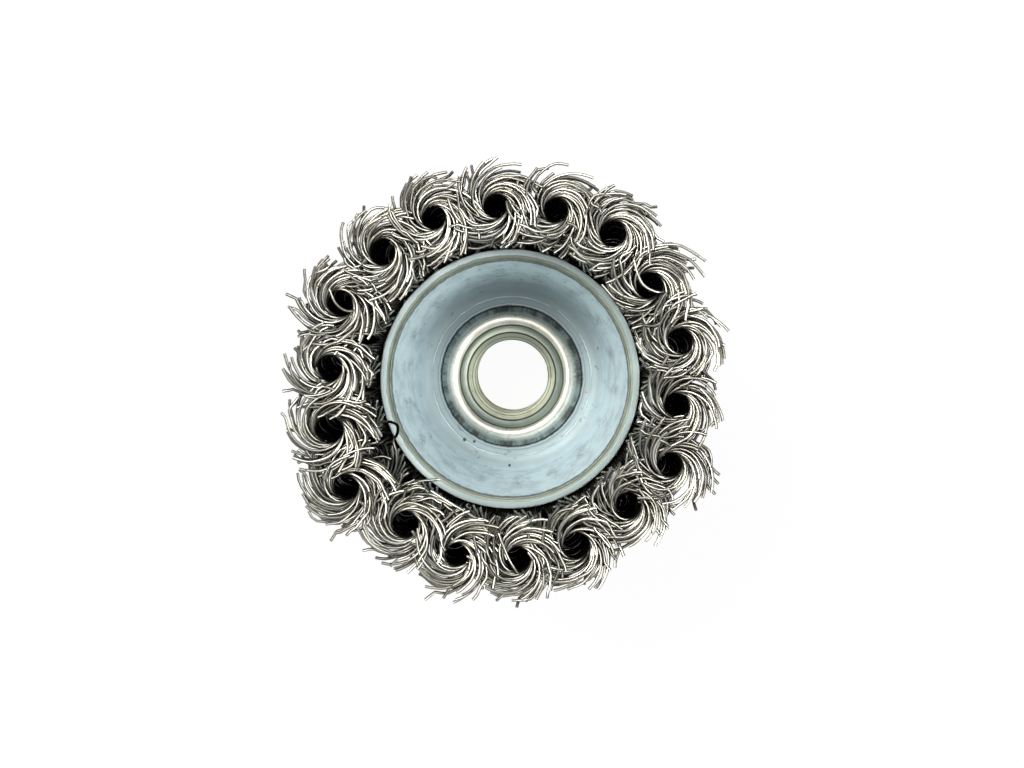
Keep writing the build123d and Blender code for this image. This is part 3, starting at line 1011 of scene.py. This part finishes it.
# %% [markdown]
# The thread is one ridge that winds up the bore. A spin that also lifts makes it. Where the
# ridge runs out into the countersunk mouths it is cut back to their cones.

# %% Thread
thread_root, thread_crest, thread_foot = 7.02, 6.02, 1.3
root_half, crest_half = 0.86, 0.14
turns, steps_a_turn, pitch = 8, 72, 2.0
ridge = [(thread_root, -root_half), (thread_crest, -crest_half),
         (thread_crest, crest_half), (thread_root, root_half)]
thread_shape = bmesh.new()
corners = [thread_shape.verts.new((r, 0, z + thread_foot)) for r, z in ridge]
edges = [thread_shape.edges.new(pair) for pair in zip(corners, corners[1:] + corners[:1])]
bmesh.ops.spin(thread_shape, geom=corners + edges, cent=(0, 0, 0), axis=(0, 0, 1),
               dvec=(0, 0, pitch / steps_a_turn), angle=2 * pi * turns,
               steps=turns * steps_a_turn)
for point in thread_shape.verts:
    from_spindle = hypot(point.co.x, point.co.y)
    cone = countersink - min(point.co.z, nut_top - point.co.z)
    if from_spindle < cone:
        grow = min(cone, thread_root) / from_spindle
        point.co.x *= grow
        point.co.y *= grow
bmesh.ops.recalc_face_normals(thread_shape, faces=thread_shape.faces)
thread = finished("nut_thread", thread_shape)
print("thread:", turns, "turns,", len(thread.data.polygons), "faces")

# %% [markdown]
# ### Finish of the nut
#
# The nut was plated too, but the spinning tool and the tap cut the plating away. The crest is warm
# and bright, the flat ring inside it is greener, and the thread is yellow with oil. Inside the crest
# the upper side gets a painted shade. Dirt and painted shade stand in a dark line wherever two
# turned faces meet, with a painted shadow in the gap at the rim of the nut. Outside the crest the
# tool tore the metal into short dark strokes. They follow the turn of the tool, so their noise is
# stretched round the spindle.

# %% Faces of the nut
nut_steel, output, tree, place, turned = turned_metal("nut_zinc_plate", 2600.0)
distance, angle = turned["Distance"], turned["Angle"]
height = node(tree, "SeparateXYZ", {0: place}).outputs[2]
in_mouth = between(tree, distance, 7.6 * mm, 7.3 * mm)
on_ring = times(tree, between(tree, distance, 7.3 * mm, 7.4 * mm),
                between(tree, distance, 8.65 * mm, 8.5 * mm))
on_hexagon = between(tree, height, 16.5 * mm, 15.5 * mm)
# Painted shade on the upper side, inside the crest of the nut.
painted_shade_upper_mouth = times(tree, picture_side(tree, angle, radians(90), -0.1, 1.0),
             between(tree, distance, 8.6 * mm, 8.2 * mm))
metal = (0.95, 0.88, 0.76, 1)
for mask, colour in (
    (on_ring, (0.50, 0.56, 0.48, 1)),
    (on_hexagon, (0.29, 0.305, 0.30, 1)),
    (in_mouth, (0.92, 0.90, 0.68, 1)),
    (times(tree, painted_shade_upper_mouth, 0.75), (0.30, 0.32, 0.25, 1)),
):
    metal = stain_colours(tree, mask, metal, colour)
stained = node(tree, "Group", {
    "Place": place, "Metal": metal, "Film": (0.42, 0.43, 0.36, 1), "Film Scale": 400.0,
    "Film Amount": 0.35, "Speck Scale": 900.0, "Speck Amount": 0.3}, node_tree=stain).outputs
print("faces of the nut:", len(tree.nodes), "nodes so far")

# %% Torn band, dark lines and shine of the nut
around_place = node(tree, "CombineXYZ", {0: times(tree, angle, 11.5 * mm),
                                         1: times(tree, distance, 0.35)}).outputs[0]
streaks = cloud(tree, around_place, 2200.0, 5.0, 0.75)
blocks = cloud(tree, around_place, 420.0, 2.0)
torn_edge = reckon(tree, "ADD", distance, times(tree, streaks, 1.1 * mm))
torn = times(tree, between(tree, torn_edge, 10.65 * mm, 11.55 * mm),
             between(tree, height, 17.0 * mm, 17.5 * mm))
torn = times(tree, torn, 0.9)
tears = between(tree, reckon(tree, "ADD", streaks, times(tree, blocks, 1.1)), 0.85, 1.3)
torn_colour = stain_colours(tree, tears, (0.022, 0.026, 0.026, 1), (0.30, 0.345, 0.335, 1))
banded = stain_colours(tree, torn, stained["Color"], torn_colour)
near_mouth = between(tree, height, 12.5 * mm, 13.5 * mm)
# Dirt and painted shade in dark lines where turned faces meet; the outermost is a painted shadow in
# the gap.
for low, high in ((6.08, 6.16), (6.52, 6.60), (7.18, 7.48), (8.48, 8.68), (11.58, 11.9)):
    line = times(tree, between(tree, distance, (low - 0.04) * mm, (low + 0.04) * mm),
                 between(tree, distance, (high + 0.04) * mm, (high - 0.04) * mm))
    line = times(tree, times(tree, line, near_mouth), 0.92)
    banded = stain_colours(tree, line, banded, (0.03, 0.033, 0.027, 1))
rough = times(tree, reckon(tree, "MAXIMUM", torn, in_mouth), 0.1)
rough = reckon(tree, "ADD", rough, 0.4)
rough = reckon(tree, "SUBTRACT", rough, times(tree, on_hexagon, 0.16))
metal_share = reckon(tree, "SUBTRACT", 0.95, times(tree, in_mouth, 0.25))
metal_shader(tree, output, metal_share, banded, rough, turned["Rings"], 0.4, 0.03)
for piece in (nut, thread):
    piece.data.materials.append(nut_steel)
    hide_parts("hub_nut")
print("nut steel on nut and thread:", len(tree.nodes), "nodes")

# %% [markdown]
# The dressed brush has to stay inside the box of the solid model. We print both boxes.

# %% Sizes
dressed_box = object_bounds()
for label, box in (("solid", solid_box), ("dressed", dressed_box)):
    print(label, [[round(v / mm, 2) for v in corner] for corner in box])
